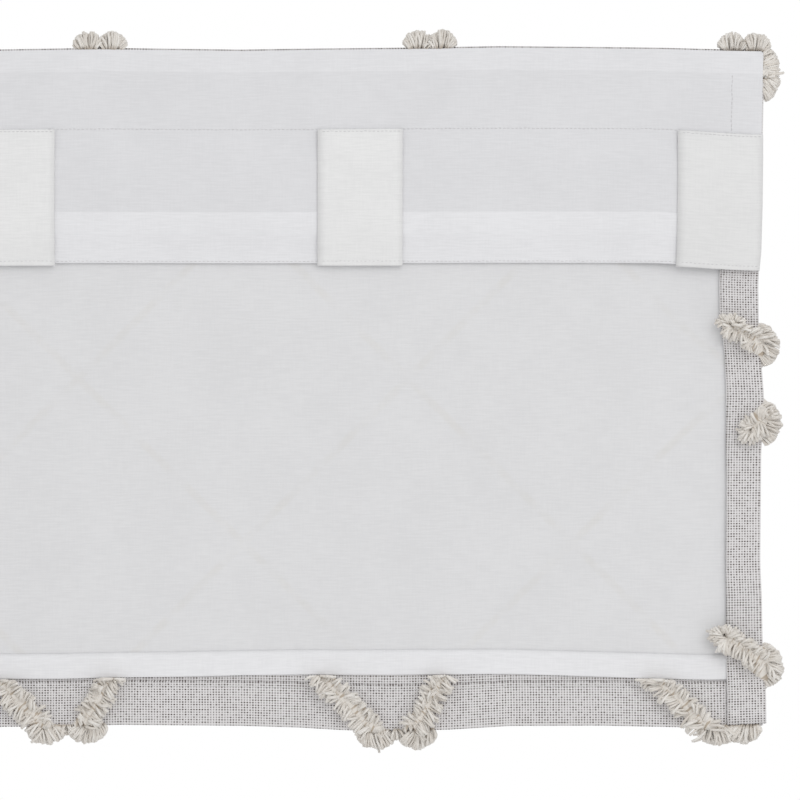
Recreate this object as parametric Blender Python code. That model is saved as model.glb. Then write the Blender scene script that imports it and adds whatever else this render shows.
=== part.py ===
"""Lined back-tab valance with a rod pocket and a diamond lattice of cut-yarn tufting.

The valance hangs upright. X runs along its width, the tufted front faces -Y, and the
lining, the pocket band and the tabs face +Y. The origin is the middle of the rod pocket.
All sizes are in metres.
"""

import math

import bmesh
import bpy

# Finished size
WIDTH = 1.524
DROP = 0.4064
HEADER_HEIGHT = 0.0482
POCKET_HEIGHT = 0.0788

# Cloth thicknesses, and the space kept between cloths that touch
FACE_THICK = 0.0011
LINING_THICK = 0.0005
BAND_THICK = 0.0005
TAB_THICK = 0.0012
CLEARANCE = 0.0003

# Face panel: what is turned to the back
FACE_SIDE_HEM = 0.025
FACE_BOTTOM_HEM = 0.027
FACE_TOP_TURN = 0.013

# Lining: its own hem, and how far it runs under its neighbours
LINING_HEM = 0.015
LINING_ABOVE_HEM = 0.0035
LINING_UNDER_BAND = 0.017
LINING_UNDER_SIDE_HEM = 0.007

# Pocket band: what is turned under, and the room that it leaves for the rod
BAND_BELOW_TOP = 0.0009
BAND_INSIDE_EDGE = 0.0008
BAND_TOP_TURN = 0.013
BAND_SIDE_HEM = 0.020
BAND_HEM = 0.0305
BAND_STITCH_MARGIN = 0.0012
POCKET_DEPTH = 0.008
POCKET_EASE = 0.020
BAND_LIFT_FROM = 0.095
BAND_LIFT_TO = 0.055

# Back tabs
TAB_COUNT = 8
TAB_WIDTH = 0.051
TAB_INSET = 0.0052
TAB_TOP_TURN = 0.008
TAB_BOTTOM_TURN = 0.012
TAB_BELOW_BAND = 0.0015
TAB_SLACK = 0.0032
TAB_EASE = 0.009

# Tufting: a lattice of square diamonds standing on their corners
LATTICE_PERIOD = 0.1975
LATTICE_FROM_SIDE = 0.015
LATTICE_FROM_BOTTOM = 0.0117
LATTICE_ROWS = 4
TUFT_WIDTH = 0.017
TUFT_HEIGHT = 0.008
TUFT_LOBE = 0.13
TUFT_TOP_REACH = 0.0095
TUFT_RINGS_PER_SIDE = 8

# Facets
BEND_FACETS = 3
EASE_FACETS = 4
MAIN_STEP = 0.140
TURN_STEP = 0.0055

# Heights of the seams and edges, from the middle of the pocket
HEADER_STITCH_Z = POCKET_HEIGHT / 2
LOWER_STITCH_Z = -POCKET_HEIGHT / 2
TOP_Z = HEADER_STITCH_Z + HEADER_HEIGHT
BOTTOM_Z = TOP_Z - DROP
BAND_TOP_Z = TOP_Z - BAND_BELOW_TOP
BAND_BOTTOM_Z = LOWER_STITCH_Z - BAND_STITCH_MARGIN
TAB_BOTTOM_Z = BAND_BOTTOM_Z - TAB_BELOW_BAND
LATTICE_BOTTOM_Z = BOTTOM_Z + LATTICE_FROM_BOTTOM

# Depths behind the front of the face, where the cloths lie on each other
TURN_BACK = 2 * FACE_THICK + CLEARANCE
LINING_FRONT = FACE_THICK + CLEARANCE
LINING_HEM_THICK = 2 * LINING_THICK + CLEARANCE
SIDE_GAP = max(FACE_THICK, LINING_HEM_THICK) + 2 * CLEARANCE
SIDE_HEM_BACK = 2 * FACE_THICK + SIDE_GAP
BAND_SIDE_GAP = BAND_THICK + 2 * CLEARANCE
BAND_TURN_THICK = 2 * BAND_THICK + CLEARANCE
BAND_BACK = max(TURN_BACK, LINING_FRONT + LINING_THICK) + CLEARANCE + BAND_TURN_THICK
BAND_BACK_AT_SIDE = SIDE_HEM_BACK + CLEARANCE + 2 * BAND_THICK + BAND_SIDE_GAP
BAND_BACK_AT_POCKET = BAND_BACK_AT_SIDE - CLEARANCE + POCKET_DEPTH
FRONT_Y = -(SIDE_HEM_BACK + POCKET_DEPTH / 2)


def smooth(start, stop, value):
    """Rise gently from 0 at start to 1 at stop."""
    share = min(max((value - start) / (stop - start), 0.0), 1.0)
    return share * share * (3.0 - 2.0 * share)


def spread(start, stop, step):
    """Even values from start to stop, no further apart than step."""
    count = max(1, math.ceil(abs(stop - start) / step - 1e-6))
    return [start + (stop - start) * index / count for index in range(count + 1)]


def flat_front(x, z):
    """The face hangs in one plane."""
    return FRONT_Y


def lining_front(x, z):
    """The lining lies on the back of the face."""
    return FRONT_Y + LINING_FRONT


def band_back(x, z):
    """The band rises over the side hems, and bulges between its two rows of stitching."""
    lift = smooth(WIDTH / 2 - BAND_LIFT_FROM, WIDTH / 2 - BAND_LIFT_TO, abs(x))
    sewn = BAND_BACK + lift * (BAND_BACK_AT_SIDE - BAND_BACK)
    bulge = smooth(HEADER_STITCH_Z, HEADER_STITCH_Z - POCKET_EASE, z)
    bulge *= smooth(LOWER_STITCH_Z, LOWER_STITCH_Z + POCKET_EASE, z)
    return FRONT_Y + sewn + bulge * (BAND_BACK_AT_POCKET - sewn)


def tab_back(x, z):
    """A tab lies on the band at both ends, and stands off it between them."""
    top = HEADER_STITCH_Z - TAB_TOP_TURN
    bottom = TAB_BOTTOM_Z + TAB_BOTTOM_TURN
    loop = smooth(top, top - TAB_EASE, z) * smooth(bottom, bottom + TAB_EASE, z)
    return band_back(x, z) + 2 * (CLEARANCE + TAB_THICK) + loop * TAB_SLACK


class Fold:
    """A half turn of a cloth about an axis behind its outer side."""

    def __init__(self, thickness, gap):
        self.axis = thickness + gap / 2
        self.neutral = self.axis - thickness / 2
        self.bend = math.pi * self.neutral

    def turn(self, past, depth):
        """Where a point lies that is this far past the fold line: its reach and its depth."""
        angle = min(past, self.bend) / self.neutral
        rest = max(past - self.bend, 0.0)
        reach = (self.axis - depth) * math.sin(angle) - rest
        return reach, self.axis - (self.axis - depth) * math.cos(angle)

    def lines(self, hem, step):
        """Distances past the fold line for the facets of the bend and of the turned hem."""
        if not hem:
            return []
        bend = spread(0.0, self.bend, self.bend / BEND_FACETS)
        return bend[1:] + spread(self.bend, self.bend + hem - self.axis, step)[1:]


class Cloth:
    """A cut cloth with hems turned at its edges: the top and bottom first, then the sides."""

    def __init__(self, thickness, left, right, bottom, top, carry, side=1.0,
                 hems=(0.0, 0.0, 0.0), side_gap=CLEARANCE):
        self.thickness = thickness
        self.carry = carry
        self.side = side
        self.side_hem, self.top_hem, self.bottom_hem = hems
        self.end_fold = Fold(thickness, CLEARANCE)
        self.side_fold = Fold(thickness, side_gap)
        self.left = left + (self.side_fold.axis if self.side_hem else 0.0)
        self.right = right - (self.side_fold.axis if self.side_hem else 0.0)
        self.low = bottom + (self.end_fold.axis if self.bottom_hem else 0.0)
        self.high = top - (self.end_fold.axis if self.top_hem else 0.0)

    def place(self, u, v, depth):
        """Put a point of the flat cloth where the hemmed cloth hangs."""
        x, z, deep = u, v, depth
        if u > self.right:
            reach, deep = self.side_fold.turn(u - self.right, depth)
            x = self.right + reach
        elif u < self.left:
            reach, deep = self.side_fold.turn(self.left - u, depth)
            x = self.left - reach
        elif v > self.high:
            reach, deep = self.end_fold.turn(v - self.high, depth)
            z = self.high + reach
        elif v < self.low:
            reach, deep = self.end_fold.turn(self.low - v, depth)
            z = self.low - reach
        return x, self.carry(x, z) + self.side * deep, z

    def u_lines(self, across):
        """Facet lines along the width: across holds the ones between the side folds."""
        past = self.side_fold.lines(self.side_hem, MAIN_STEP)
        return ([self.left - length for length in reversed(past)]
                + [self.left] + across + [self.right]
                + [self.right + length for length in past])

    def v_lines(self, along):
        """Facet lines up the height: along holds the ones between the end folds."""
        below = self.end_fold.lines(self.bottom_hem, TURN_STEP)
        above = self.end_fold.lines(self.top_hem, TURN_STEP)
        return ([self.low - length for length in reversed(below)]
                + [self.low] + along + [self.high]
                + [self.high + length for length in above])

    def is_cloth(self, u, v):
        """The corners are cut away where two hems would meet."""
        return self.left < u < self.right or self.low < v < self.high

    def build(self, name, across, along, material):
        """Make the closed solid: both sides of the cloth, and the rim round its edges."""
        u_lines = self.u_lines(across)
        v_lines = self.v_lines(along)
        cells = {(i, j) for i in range(len(u_lines) - 1) for j in range(len(v_lines) - 1)
                 if self.is_cloth((u_lines[i] + u_lines[i + 1]) / 2,
                                  (v_lines[j] + v_lines[j + 1]) / 2)}
        mesh = bmesh.new()
        points = {}

        def point(i, j, layer):
            if (i, j, layer) not in points:
                place = self.place(u_lines[i], v_lines[j], layer * self.thickness)
                points[i, j, layer] = mesh.verts.new(place)
            return points[i, j, layer]

        for i, j in sorted(cells):
            corners = [(i, j), (i + 1, j), (i + 1, j + 1), (i, j + 1)]
            beside = [(i, j - 1), (i + 1, j), (i, j + 1), (i - 1, j)]
            mesh.faces.new([point(*corner, 0) for corner in corners])
            mesh.faces.new([point(*corner, 1) for corner in reversed(corners)])
            for index, neighbour in enumerate(beside):
                if neighbour not in cells:
                    start = corners[index]
                    stop = corners[(index + 1) % 4]
                    mesh.faces.new([point(*stop, 0), point(*start, 0),
                                    point(*start, 1), point(*stop, 1)])
        return add_object(name, mesh, material)


def add_object(name, mesh, material):
    """Turn a closed mesh outward and put it in the scene."""
    bmesh.ops.recalc_face_normals(mesh, faces=mesh.faces)
    if mesh.calc_volume(signed=True) < 0.0:
        bmesh.ops.reverse_faces(mesh, faces=mesh.faces)
    data = bpy.data.meshes.new(name)
    mesh.to_mesh(data)
    mesh.free()
    data.materials.append(material)
    obj = bpy.data.objects.new(name, data)
    bpy.context.scene.collection.objects.link(obj)
    return obj


def add_material(name, colour, roughness):
    """A plain finish for one kind of cloth or yarn."""
    material = bpy.data.materials.new(name)
    material.use_nodes = True
    shader = material.node_tree.nodes["Principled BSDF"]
    shader.inputs["Base Color"].default_value = (*colour, 1.0)
    shader.inputs["Roughness"].default_value = roughness
    shader.inputs["Metallic"].default_value = 0.0
    return material


def add_ridge(name, rings, material):
    """Join rings of points into one closed ridge."""
    mesh = bmesh.new()
    loops = [[mesh.verts.new(point) for point in ring] for ring in rings]
    for ring, following in zip(loops, loops[1:]):
        for index in range(len(ring)):
            after = (index + 1) % len(ring)
            mesh.faces.new([ring[index], ring[after], following[after], following[index]])
    mesh.faces.new(reversed(loops[0]))
    mesh.faces.new(loops[-1])
    return add_object(name, mesh, material)


def make_face_panel():
    """The woven face, with its hems and its top seam turned to the back."""
    hems = (FACE_SIDE_HEM, FACE_TOP_TURN, FACE_BOTTOM_HEM)
    return Cloth(FACE_THICK, -WIDTH / 2, WIDTH / 2, BOTTOM_Z, TOP_Z, flat_front,
                 hems=hems, side_gap=SIDE_GAP)


def make_lining_panel():
    """The lining, caught in the side hems and under the band, and loose at its hem."""
    half = WIDTH / 2 - FACE_SIDE_HEM + LINING_UNDER_SIDE_HEM
    bottom = BOTTOM_Z + FACE_BOTTOM_HEM + LINING_ABOVE_HEM
    top = BAND_BOTTOM_Z + LINING_UNDER_BAND
    return Cloth(LINING_THICK, -half, half, bottom, top, lining_front,
                 hems=(0.0, 0.0, LINING_HEM))


def make_pocket_band():
    """The white band behind the header, whose middle is the rod pocket."""
    hems = (BAND_SIDE_HEM, BAND_TOP_TURN, BAND_HEM)
    half = WIDTH / 2 - BAND_INSIDE_EDGE
    return Cloth(BAND_THICK, -half, half, BAND_BOTTOM_Z, BAND_TOP_Z, band_back,
                 side=-1.0, hems=hems, side_gap=BAND_SIDE_GAP)


def tab_left(index):
    """Left edge of a tab. The end tabs are flush with the sides; the others keep clear of them."""
    spacing = (WIDTH - TAB_WIDTH) / (TAB_COUNT - 1)
    left = -WIDTH / 2 + index * spacing
    if 0 < index < TAB_COUNT - 1:
        left += TAB_INSET * (1.0 - 2.0 * (index - 1) / (TAB_COUNT - 3))
    return left


def make_tab(index):
    """One back tab, sewn to the band at both of its turned ends."""
    left = tab_left(index)
    return Cloth(TAB_THICK, left, left + TAB_WIDTH, TAB_BOTTOM_Z, HEADER_STITCH_Z, tab_back,
                 side=-1.0, hems=(0.0, TAB_TOP_TURN, TAB_BOTTOM_TURN))


def band_across():
    """Facet lines where the band rises towards its sides."""
    outer = WIDTH / 2 - BAND_LIFT_TO
    inner = WIDTH / 2 - BAND_LIFT_FROM
    rise = spread(inner, outer, (outer - inner) / EASE_FACETS)
    middle = spread(-inner, inner, 2 * MAIN_STEP)
    return [-line for line in reversed(rise)] + middle[1:-1] + rise


def band_along():
    """Facet lines where the band bulges between its rows of stitching."""
    low = spread(LOWER_STITCH_Z, LOWER_STITCH_Z + POCKET_EASE, POCKET_EASE / EASE_FACETS)
    high = spread(HEADER_STITCH_Z - POCKET_EASE, HEADER_STITCH_Z, POCKET_EASE / EASE_FACETS)
    return low + high


def tab_along():
    """Facet lines where a tab bends away from the band and back to it."""
    low = TAB_BOTTOM_Z + TAB_BOTTOM_TURN
    high = HEADER_STITCH_Z - TAB_TOP_TURN
    bends = (spread(LOWER_STITCH_Z, low, TURN_STEP)
             + spread(low, low + TAB_EASE, TAB_EASE / EASE_FACETS)[1:]
             + spread(high - TAB_EASE, high, TAB_EASE / EASE_FACETS))
    return bends


def first_vertex_x(row):
    """The first lattice corner of a row: every other row starts half a period later."""
    return -WIDTH / 2 + LATTICE_FROM_SIDE + (row % 2) * LATTICE_PERIOD / 2


def row_z(row):
    """Height of a row of lattice corners, counted from the top."""
    return LATTICE_BOTTOM_Z + (LATTICE_ROWS - row) * LATTICE_PERIOD / 2


def row_centre(row, u):
    """Height of the middle of a zigzag row: it peaks at its upper row of corners."""
    offset = (u - first_vertex_x(row)) % LATTICE_PERIOD
    return row_z(row) - min(offset, LATTICE_PERIOD - offset)


def profile(low, high, height):
    """Section of a tuft: its place across and its height, round its five points."""
    middle = (low + high) / 2
    half = (high - low) / 2
    return [(middle - 0.7 * half, 0.0), (middle - half, 0.45 * height), (middle, height),
            (middle + half, 0.45 * height), (middle + 0.7 * half, 0.0)]


def over_front(face, u, v, height):
    """A point this high over the front of the face. Past its top edge it stands straight up."""
    above = max(v - face.high, 0.0)
    x, y, z = face.place(u, v - above, -CLEARANCE - height)
    return x, y, z + above


def swell(index):
    """The cut ends stand in clumps, so every other ring is fuller."""
    return 1.0 + (TUFT_LOBE if index % 2 else -TUFT_LOBE)


def zigzag_row_lines(face, row):
    """Places along a zigzag row: even steps between its ends, which go round the side hems."""
    step = LATTICE_PERIOD / 2 / TUFT_RINGS_PER_SIDE
    start = first_vertex_x(0)
    first = math.ceil((face.left + step / 2 - start) / step)
    last = math.floor((face.right - step / 2 - start) / step)
    lines = [start + index * step for index in range(first, last + 1)]
    fold = face.side_fold
    if row == 0:
        past = [0.0, fold.bend / 4, fold.bend / 2]
    else:
        past = [0.0] + fold.lines(FACE_SIDE_HEM - CLEARANCE, step)
    return ([face.left - length for length in reversed(past)] + lines
            + [face.right + length for length in past])


def add_zigzag_row(face, row, material):
    """One zigzag of tufting: it is trimmed halfway where it meets the row above or below."""
    reach = TUFT_WIDTH / math.sqrt(2)
    rings = []
    for index, u in enumerate(zigzag_row_lines(face, row)):
        full = reach * swell(index)
        centre = row_centre(row, u)
        limit = row_z(row) - CLEARANCE / 2 if row else TOP_Z + TUFT_TOP_REACH
        if row and not face.left < u < face.right:
            limit = min(limit, TAB_BOTTOM_Z - FACE_THICK)
        high = min(centre + full, limit)
        low = max(centre - full, row_z(row + 1) + CLEARANCE / 2)
        height = TUFT_HEIGHT * swell(index) * min(1.0, (high - low) / reach)
        rings.append([over_front(face, u, v, up) for v, up in profile(low, high, height)])
    add_ridge(f"tuft_row_{row + 1}", rings, material)


def hem_tuft_lines(face, stop_at_fold):
    """Places down one arm of a hem tuft: to the bottom fold, round it and up the hem."""
    fold = face.end_fold
    top = LATTICE_BOTTOM_Z - CLEARANCE / 2
    lines = spread(top, face.low, (top - face.low) / 2)
    if stop_at_fold:
        past = [fold.bend / 4, fold.bend / 2]
    else:
        step = LATTICE_PERIOD / 2 / TUFT_RINGS_PER_SIDE
        past = fold.lines(FACE_BOTTOM_HEM - CLEARANCE, step)
    return lines + [face.low - length for length in past]


def add_hem_tuft(face, name, vertex, way, material):
    """One arm of tufting below a bottom corner of the lattice, turned up with the hem."""
    reach = TUFT_WIDTH / math.sqrt(2)
    stop_at_fold = vertex + way * LATTICE_FROM_BOTTOM < -WIDTH / 2 + FACE_SIDE_HEM / 2
    rings = []
    for index, v in enumerate(hem_tuft_lines(face, stop_at_fold)):
        full = reach * swell(index)
        away = LATTICE_BOTTOM_Z - v
        near = max(away - full, CLEARANCE / 2)
        low, high = sorted((vertex + way * near, vertex + way * (away + full)))
        edge = face.left + CLEARANCE
        if v <= face.low - face.end_fold.bend:
            edge = -WIDTH / 2 + FACE_SIDE_HEM + CLEARANCE
        low = max(low, edge)
        height = TUFT_HEIGHT * swell(index) * min(1.0, (high - low) / reach)
        rings.append([over_front(face, u, v, up) for u, up in profile(low, high, height)])
    add_ridge(name, rings, material)


def add_tufting(face, material):
    """The whole lattice: four zigzag rows, and the arms that turn up with the bottom hem."""
    for row in range(LATTICE_ROWS):
        add_zigzag_row(face, row, material)
    vertex = first_vertex_x(0)
    count = 0
    while vertex < WIDTH / 2 - FACE_SIDE_HEM - FACE_BOTTOM_HEM:
        for way in (-1, 1):
            count += 1
            add_hem_tuft(face, f"hem_tuft_{count}", vertex, way, material)
        vertex += LATTICE_PERIOD


def build_valance():
    """Build every piece of the valance."""
    weave = add_material("natural_basket_weave", (0.56, 0.54, 0.52), 0.9)
    lining_cotton = add_material("white_lining_cotton", (0.78, 0.78, 0.79), 0.85)
    band_cotton = add_material("white_band_cotton", (0.82, 0.82, 0.84), 0.85)
    tab_cotton = add_material("white_tab_cotton", (0.84, 0.84, 0.85), 0.85)
    yarn = add_material("cream_tuft_yarn", (0.55, 0.51, 0.46), 0.95)
    face = make_face_panel()
    face.build("face_panel", spread(face.left, face.right, MAIN_STEP)[1:-1],
               spread(face.low, face.high, MAIN_STEP)[1:-1], weave)
    lining = make_lining_panel()
    lining.build("lining_panel", spread(lining.left, lining.right, MAIN_STEP)[1:-1],
                 spread(lining.low, lining.high, MAIN_STEP)[1:-1], lining_cotton)
    make_pocket_band().build("pocket_band", band_across(), band_along(), band_cotton)
    for index in range(TAB_COUNT):
        make_tab(index).build(f"back_tab_{index + 1}", [], tab_along(), tab_cotton)
    add_tufting(face, yarn)


def clear_scene():
    """Start from an empty scene."""
    for obj in list(bpy.data.objects):
        bpy.data.objects.remove(obj, do_unlink=True)


clear_scene()
build_valance()
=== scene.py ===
"""Looks of the lined back-tab valance: its cloths, its tufting, its stitching and the studio.

The valance hangs upright. X runs along its width, the tufted front faces -Y, and the lining,
the pocket band and the tabs face +Y. The camera looks at the back, as the photograph does.
"""

import math

import bpy
import numpy as np
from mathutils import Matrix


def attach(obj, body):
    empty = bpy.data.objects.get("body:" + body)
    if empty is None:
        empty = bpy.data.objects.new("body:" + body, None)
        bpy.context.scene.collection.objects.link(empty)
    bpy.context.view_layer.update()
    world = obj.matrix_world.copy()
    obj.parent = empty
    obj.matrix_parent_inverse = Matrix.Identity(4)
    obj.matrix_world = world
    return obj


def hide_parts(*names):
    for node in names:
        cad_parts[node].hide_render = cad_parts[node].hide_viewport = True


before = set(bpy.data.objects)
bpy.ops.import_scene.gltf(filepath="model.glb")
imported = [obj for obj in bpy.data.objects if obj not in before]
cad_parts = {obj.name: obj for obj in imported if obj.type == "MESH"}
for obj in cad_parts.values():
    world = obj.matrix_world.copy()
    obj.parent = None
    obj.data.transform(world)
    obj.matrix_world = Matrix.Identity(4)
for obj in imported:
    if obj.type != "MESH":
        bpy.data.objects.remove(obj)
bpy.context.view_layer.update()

# Finished size, as in part.py
WIDTH = 1.524
DROP = 0.4064
HEADER_HEIGHT = 0.0482
POCKET_HEIGHT = 0.0788

# Cloth thicknesses, and the space kept between cloths that touch
FACE_THICK = 0.0011
LINING_THICK = 0.0005
BAND_THICK = 0.0005
TAB_THICK = 0.0008
CLEARANCE = 0.0003

# What each cloth turns under, and how far it runs under its neighbours
FACE_SIDE_HEM = 0.025
FACE_BOTTOM_HEM = 0.027
FACE_TOP_TURN = 0.013
LINING_HEM = 0.015
LINING_ABOVE_HEM = 0.0035
LINING_UNDER_BAND = 0.017
LINING_UNDER_SIDE_HEM = 0.007
BAND_BELOW_TOP = 0.0009
BAND_INSIDE_EDGE = 0.0008
BAND_TOP_TURN = 0.013
BAND_SIDE_HEM = 0.020
BAND_HEM = 0.0305
BAND_STITCH_MARGIN = 0.0012
BAND_LIFT_FROM = 0.095
BAND_LIFT_TO = 0.055
POCKET_DEPTH = 0.008
POCKET_LEFT_OPEN = 0.45
POCKET_EASE = 0.020

# Back tabs
TAB_COUNT = 8
TAB_WIDTH = 0.051
TAB_INSET = 0.0052
TAB_TOP_TURN = 0.008
TAB_BOTTOM_TURN = 0.012
TAB_BELOW_BAND = 0.0015
TAB_SLACK = -0.0011
TAB_EASE = 0.009

# Tufting
LATTICE_PERIOD = 0.1975
LATTICE_FROM_SIDE = 0.015
LATTICE_FROM_BOTTOM = 0.0117
LATTICE_ROWS = 4
LATTICE_TOP_SKEW = 0.0144
LATTICE_FOOT_SKEW = 0.0084
SKEW_AT_SIDE = 0.25
TOP_SKEW_ROOM = 0.12
FOOT_SKEW_ROOM = 0.018
STRAY_ROOM = 0.05
CLEAR_BELOW_TABS = 0.010
SHORTEST_ARM = 0.002
YARN_LENGTH = 0.0106
YARN_RADIUS = 0.00076
YARN_TAPER = np.array([0.8, 1.0, 1.06, 1.0])
YARN_JITTER = 0.0004
YARN_PRESSED = 0.94
SPREAD_SHORTENS = 70.0
YARN_SPACING = 0.00088
FRONT_YARN_SPACING = 0.00122
YARN_DROOP = 0.0011
YARNS_AT_END = 70
YARN_SIDES = 4
YARN_RINGS = 4
CORE_WIDTH = 0.0110
CORE_HEIGHT = 0.0034
CORE_STEP = 0.0025
CORE_SIDES = 8
CORE_END = 0.004
ROOT_HEIGHT = 0.0008
TOP_OVERSHOOT = 0.0050
LATTICE_TOP_DROP = 0.0040

# How far in degrees a cut yarn leans at its root and bends over: in thin pile, and in full pile
YARN_LEAN = (26.0, 86.0)
YARN_BEND = (42.0, 76.0)

# For each row: how far it runs past the side fold, and its slope there
SIDE_TUFTS = [(0.0, 1.0), (0.0225, 0.45), (0.0120, 0.60), (0.0295, 0.45)]

# Where the hand-laid lattice strays near a side: the height, how far that reaches, and the shift
SIDE_SHIFTS = [(-0.283, 0.016, 0.0170), (-0.128, 0.014, -0.0105), (-0.088, 0.014, 0.0105)]

# Lobes of yarn that stand off an edge: half their width, their reach, and how many yarns
TOP_LOBE = (0.0078, 0.0104, 78)
SIDE_LOBE = (0.0116, 0.0124, 120)
CORNER_LOBE = (0.0138, 0.0104, 136)
HEM_LOBE = (0.0104, 0.0100, 114)
FRINGE = (0.0085, 0.0050, 40)
LOBE_YARN_RADIUS = 0.00072
LOBE_TAPER = np.array([0.85, 1.0, 1.05, 1.0])
LOBE_ROOT = 0.0012
LOBE_FROM_FRONT = 0.0013
LOBE_DEPTH = 0.0026
LOBE_DROOP = 0.0006
LOBE_ARC = 1.42
LOBE_FAN = 1.35
TOP_LOBE_APART = 0.90
TOP_LOBE_SHIFT = 0.0014
TOP_LOBE_LEAN = 0.05
SIDE_LOBE_INSET = 0.001
SIDE_LOBE_LEAN = 0.14
HEM_LOBE_LEAN = 0.24
CORNER_LIFT = 0.0066
SIDE_ROOT_SPREAD = 0.0006
ROOT_SPREAD = 0.0030
END_LENGTH = 0.0055
YARN_CURL = 0.32
FRONT_YARN_REACH = 0.0028

# The arms of tufting at the bottom hem, and their lobes below its fold
HEM_ARM_STEEP = 0.42
HEM_ARM_PAST = 0.007
HEM_ARM_INSET = 0.006
HIDDEN_ARM_INSET = 0.007
HEM_LOBE_BESIDE = 0.003
HEM_LOBE_SHIFT = 0.0016
CORNER_LOBE_INWARD = 0.005
YARN_BELOW_LINING = 0.0010

# Stitching
STITCH_PITCH = 0.0025
STITCH_LENGTH = 0.0021
STITCH_LIFT = 0.00012
STITCH_SINK = 0.00030
STITCH_WOBBLE = 0.00008
THREAD_RADIUS = 0.00019
THREAD_SIDES = 4

# How far each row of stitching keeps from the edge or the fold beside it
BAND_ROW_FROM_SIDE = 0.0035
SIDE_ROW_OVER_HEM = 0.0012
SIDE_ROW_FROM_FOOT = 0.001
SIDE_ROW_ABOVE_HEADER = 0.035
LINING_ROW_FROM_SIDE = 0.008
LINING_ROW_BELOW_HEM_EDGE = 0.0015
HEM_ROW_FROM_SIDE = 0.0215
HEM_ROW_BELOW_HEM_EDGE = 0.0030
TAB_ROW_FROM_SIDE = 0.001
TAB_ROW_FROM_TOP = 0.0013
TAB_ROW_FROM_FOOT = 0.0028

# Seeds of the random draws
ROW_SEED = 20
HEM_SEED = 40
STITCH_SEED = 60

# Mesh steps
CLOTH_STEP = 0.006
BEND_FACETS = 8
TURN_STEP = 0.004

# Heights and depths that follow from the sizes
HEADER_STITCH_Z = POCKET_HEIGHT / 2
LOWER_STITCH_Z = -POCKET_HEIGHT / 2
TOP_Z = HEADER_STITCH_Z + HEADER_HEIGHT
BOTTOM_Z = TOP_Z - DROP
BAND_TOP_Z = TOP_Z - BAND_BELOW_TOP
BAND_BOTTOM_Z = LOWER_STITCH_Z - BAND_STITCH_MARGIN
TAB_BOTTOM_Z = BAND_BOTTOM_Z - TAB_BELOW_BAND
LINING_BOTTOM_Z = BOTTOM_Z + FACE_BOTTOM_HEM + LINING_ABOVE_HEM
LINING_TOP_Z = BAND_BOTTOM_Z + LINING_UNDER_BAND
LATTICE_BOTTOM_Z = BOTTOM_Z + LATTICE_FROM_BOTTOM
TURN_BACK = 2 * FACE_THICK + CLEARANCE
LINING_FRONT = FACE_THICK + CLEARANCE
LINING_HEM_THICK = 2 * LINING_THICK + CLEARANCE
SIDE_GAP = max(FACE_THICK, LINING_HEM_THICK) + 2 * CLEARANCE
SIDE_HEM_BACK = 2 * FACE_THICK + SIDE_GAP
BAND_SIDE_GAP = BAND_THICK + 2 * CLEARANCE
BAND_TURN_THICK = 2 * BAND_THICK + CLEARANCE
BAND_BACK = max(TURN_BACK, LINING_FRONT + LINING_THICK) + CLEARANCE + BAND_TURN_THICK
BAND_BACK_AT_SIDE = SIDE_HEM_BACK + CLEARANCE + 2 * BAND_THICK + BAND_SIDE_GAP
BAND_BACK_AT_POCKET = BAND_BACK_AT_SIDE - CLEARANCE + POCKET_DEPTH
FRONT_Y = -(SIDE_HEM_BACK + POCKET_DEPTH / 2)

# The photograph: its scale, and the picture's middle and the valance's right edge in pixels
METRES_PER_PIXEL = 0.0005985
PICTURE_SIZE = 800
EDGE_PIXEL_X = 763.0
POCKET_PIXEL_Y = 195.5
CAMERA_DISTANCE = 5.0
SENSOR_WIDTH = 36.0


def smooth(start, stop, value):
    """Rise gently from 0 at start to 1 at stop."""
    share = np.clip((np.asarray(value, float) - start) / (stop - start), 0.0, 1.0)
    return share * share * (3.0 - 2.0 * share)


def spread(start, stop, step):
    """Even values from start to stop, no further apart than step."""
    count = max(1, math.ceil(abs(stop - start) / step - 1e-6))
    return [start + (stop - start) * index / count for index in range(count + 1)]


def pixel_x(column):
    """Place along the width of a column of the photograph."""
    return -WIDTH / 2 + (EDGE_PIXEL_X - column) * METRES_PER_PIXEL


def pixel_z(row):
    """Height of a row of the photograph."""
    return (POCKET_PIXEL_Y - row) * METRES_PER_PIXEL


def make_camera():
    """A long lens, square to the back, as far along the valance as the photograph is."""
    data = bpy.data.cameras.new("photo_camera")
    data.sensor_width = SENSOR_WIDTH
    data.lens = SENSOR_WIDTH * CAMERA_DISTANCE / (PICTURE_SIZE * METRES_PER_PIXEL)
    camera = bpy.data.objects.new("photo_camera", data)
    middle = PICTURE_SIZE / 2
    camera.location = (pixel_x(middle), CAMERA_DISTANCE, pixel_z(middle))
    camera.rotation_euler = (math.pi / 2, 0.0, math.pi)
    bpy.context.scene.collection.objects.link(camera)
    bpy.context.scene.camera = camera


def row_z(row):
    """Height of a row of lattice corners, counted from the top."""
    return LATTICE_BOTTOM_Z + (LATTICE_ROWS - row) * LATTICE_PERIOD / 2


def first_vertex_x(row):
    """The first lattice corner of a row: every other row starts half a period later."""
    return -WIDTH / 2 + LATTICE_FROM_SIDE + (row % 2) * LATTICE_PERIOD / 2


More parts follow.
